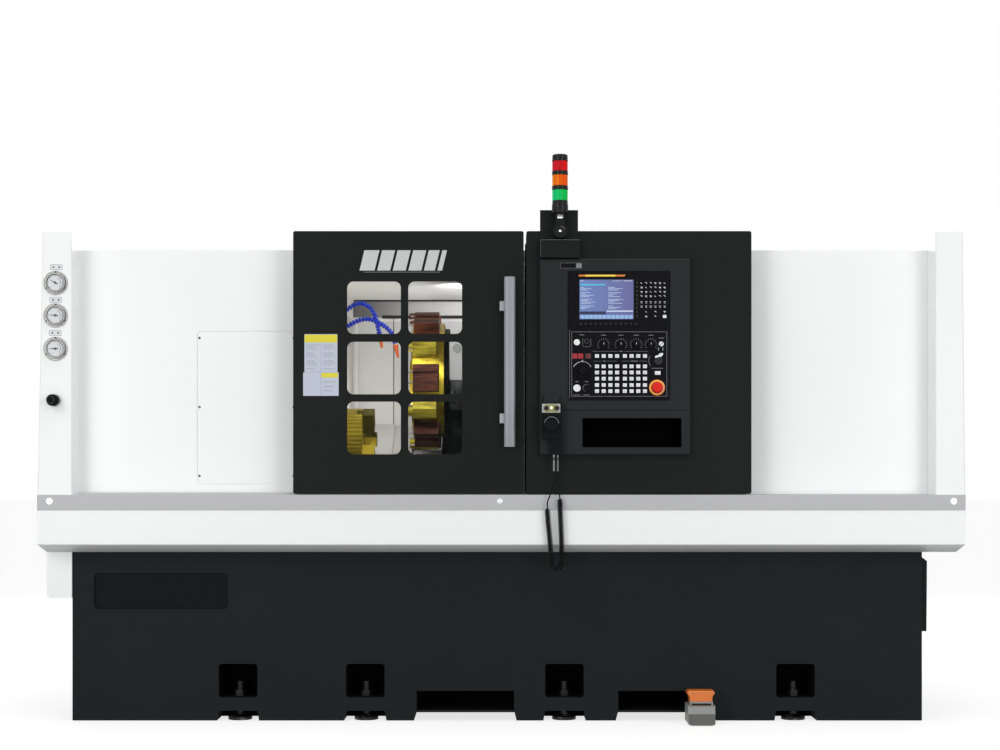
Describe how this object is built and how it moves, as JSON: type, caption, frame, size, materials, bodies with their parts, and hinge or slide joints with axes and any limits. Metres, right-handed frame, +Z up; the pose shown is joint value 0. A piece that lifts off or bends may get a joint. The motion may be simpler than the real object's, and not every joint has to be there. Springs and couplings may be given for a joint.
{
  "type": "cnc turning lathe",
  "caption": "Slant-bed turning lathe with enclosure, sliding windowed door, turret, three-jaw chuck, tailstock, control panel, hand pendant and signal tower.",
  "frame": {"origin": "centre of the footprint on the floor", "axes": "+X to the operator's right along the spindle, +Y away from the operator, +Z up"},
  "size_m": [3.57, 1.86, 2.187],
  "materials": {
    "white_paint": "satin",
    "dark_paint": "satin",
    "panel_grey": "satin",
    "strip_grey": "satin",
    "base_dark": "painted, slightly rough",
    "casting_grey": "painted",
    "lining_grey": "satin",
    "steel": "ground",
    "zinc": "plated",
    "chuck_steel": "machined",
    "disc_steel": "machined",
    "holder_brown": "painted",
    "handle_aluminium": "anodised",
    "window_glass": "clear",
    "black_plastic": "moulded",
    "display_black": "moulded",
    "stop_red": "glossy",
    "start_white": "glossy",
    "selector_black": "glossy",
    "lens_red": "translucent",
    "lens_orange": "translucent",
    "lens_green": "translucent",
    "tower_black": "moulded",
    "hose_blue": "moulded",
    "cord_black": "satin",
    "pedal_orange": "painted",
    "switch_grey": "painted",
    "cabinet_grey": "powder coated"
  },
  "bodies": {
    "machine": {"base_casting": "base_dark", "levelling_feet": "zinc", "apron_tray": "white_paint", "sill_strip": "strip_grey", "left_end_housing": "white_paint", "right_end_housing": "white_paint", "left_front_panel": "white_paint", "right_front_panel": "white_paint", "access_cover": "white_paint", "roof_panel": "white_paint", "side_box": "white_paint", "base_side_cover": "base_dark", "inner_lining": "lining_grey", "bulkhead": "lining_grey", "chip_guards": "lining_grey", "rear_panel": "white_paint", "electrical_cabinet": "cabinet_grey", "slant_bed": "casting_grey", "bed_rails": "steel", "headstock": "casting_grey", "spindle_motor": "black_plastic", "operator_cabinet": "dark_paint", "panel_housing": "panel_grey", "display_unit": "display_black", "machine_panel": "display_black", "tower_bracket": "dark_paint", "pressure_gauges": "zinc", "coolant_hoses": "hose_blue", "pendant": "black_plastic", "cable_glands": "zinc", "cord_lead_left": "cord_black", "cord_coil": "cord_black", "cord_lead_right": "cord_black", "foot_switch": "switch_grey"},
    "door": {"door_panel": "dark_paint", "door_window": "window_glass", "door_handle": "handle_aluminium"},
    "spindle_unit": {"spindle": "steel", "chuck_body": "chuck_steel"},
    "jaw_1": {"chuck_jaw_1": "steel"},
    "jaw_2": {"chuck_jaw_2": "steel"},
    "jaw_3": {"chuck_jaw_3": "steel"},
    "carriage_unit": {"carriage": "casting_grey"},
    "cross_slide": {"turret_slide": "casting_grey"},
    "turret": {"turret_disc": "disc_steel", "tool_holders": "holder_brown"},
    "tailstock_unit": {"tailstock": "casting_grey"},
    "quill": {"tailstock_quill": "steel"},
    "screw": {"feed_screw": "steel"},
    "tower": {"tower_body": "tower_black", "red_lens": "lens_red", "orange_lens": "lens_orange", "green_lens": "lens_green"},
    "stop": {"stop_button": "stop_red"},
    "start": {"start_button": "start_white"},
    "selector": {"mode_selector": "selector_black"},
    "dial": {"pendant_dial": "black_plastic"},
    "regulator": {"regulator_knob": "black_plastic"},
    "pedal": {"foot_pedal": "pedal_orange"},
    "rear_door": {"cabinet_door": "cabinet_grey"}
  },
  "joints": [
    {"name": "door_slide", "type": "slide", "parent": "machine", "child": "door", "axis": [1, 0, 0], "range_m": [-0.8, 0]},
    {"name": "spindle_spin", "type": "hinge", "parent": "machine", "child": "spindle_unit", "pos_m": [-0.6, -0.3, 1.108], "axis": [1, 0, 0], "continuous": true},
    {"name": "jaw_1_slide", "type": "slide", "parent": "spindle_unit", "child": "jaw_1", "axis": [0, 1, 0], "range_m": [-0.004, 0.002]},
    {"name": "jaw_2_slide", "type": "slide", "parent": "spindle_unit", "child": "jaw_2", "axis": [0, -0.5, 0.866], "range_m": [-0.004, 0.002]},
    {"name": "jaw_3_slide", "type": "slide", "parent": "spindle_unit", "child": "jaw_3", "axis": [0, -0.5, -0.866], "range_m": [-0.004, 0.002]},
    {"name": "carriage_slide", "type": "slide", "parent": "machine", "child": "carriage_unit", "axis": [1, 0, 0], "range_m": [-0.1, 0.3]},
    {"name": "cross_slide_move", "type": "slide", "parent": "carriage_unit", "child": "cross_slide", "axis": [0, 0.866, 0.5], "range_m": [-0.19, 0.01]},
    {"name": "turret_spin", "type": "hinge", "parent": "cross_slide", "child": "turret", "pos_m": [-0.32, 0.15726, 1.372], "axis": [1, 0, 0], "continuous": true},
    {"name": "tailstock_slide", "type": "slide", "parent": "machine", "child": "tailstock_unit", "axis": [1, 0, 0], "range_m": [-0.25, 0.13]},
    {"name": "quill_slide", "type": "slide", "parent": "tailstock_unit", "child": "quill", "axis": [1, 0, 0], "range_m": [-0.1, 0]},
    {"name": "screw_spin", "type": "hinge", "parent": "machine", "child": "screw", "pos_m": [0.35, 0.25873, 0.98025], "axis": [1, 0, 0], "continuous": true},
    {"name": "tower_fold", "type": "hinge", "parent": "machine", "child": "tower", "pos_m": [0.2247, -0.878, 1.894], "axis": [0, 1, 0], "range_deg": [-90, 90]},
    {"name": "stop_press", "type": "slide", "parent": "machine", "child": "stop", "axis": [0, 1, 0], "range_m": [0, 0.005]},
    {"name": "start_press", "type": "slide", "parent": "machine", "child": "start", "axis": [0, 1, 0], "range_m": [0, 0.002], "stiffness_N_per_m": 800, "springref_m": -0.002},
    {"name": "selector_turn", "type": "hinge", "parent": "machine", "child": "selector", "pos_m": [0.6018, -0.88, 1.3997], "axis": [0, -1, 0], "range_deg": [-120, 120]},
    {"name": "dial_turn", "type": "hinge", "parent": "machine", "child": "dial", "pos_m": [0.1915, -0.92, 1.155], "axis": [0, -1, 0], "continuous": true},
    {"name": "regulator_turn", "type": "hinge", "parent": "machine", "child": "regulator", "pos_m": [-1.72, -0.89, 1.248], "axis": [0, -1, 0], "range_deg": [-360, 360]},
    {"name": "pedal_press", "type": "hinge", "parent": "machine", "child": "pedal", "pos_m": [0.768, -0.862, 0.086], "axis": [1, 0, 0], "range_deg": [-18, 0], "stiffness_Nm_per_rad": 2, "springref_deg": 11.46},
    {"name": "rear_door_swing", "type": "hinge", "parent": "machine", "child": "rear_door", "pos_m": [0.238, 0.907, 1], "axis": [0, 0, 1], "range_deg": [0, 110]}
  ],
  "couplings": [
    {"joint": "jaw_2_slide", "follows": "jaw_1_slide", "ratio": 1},
    {"joint": "jaw_3_slide", "follows": "jaw_1_slide", "ratio": 1},
    {"joint": "screw_spin", "follows": "carriage_slide", "rad_per_m": 628.32}
  ]
}
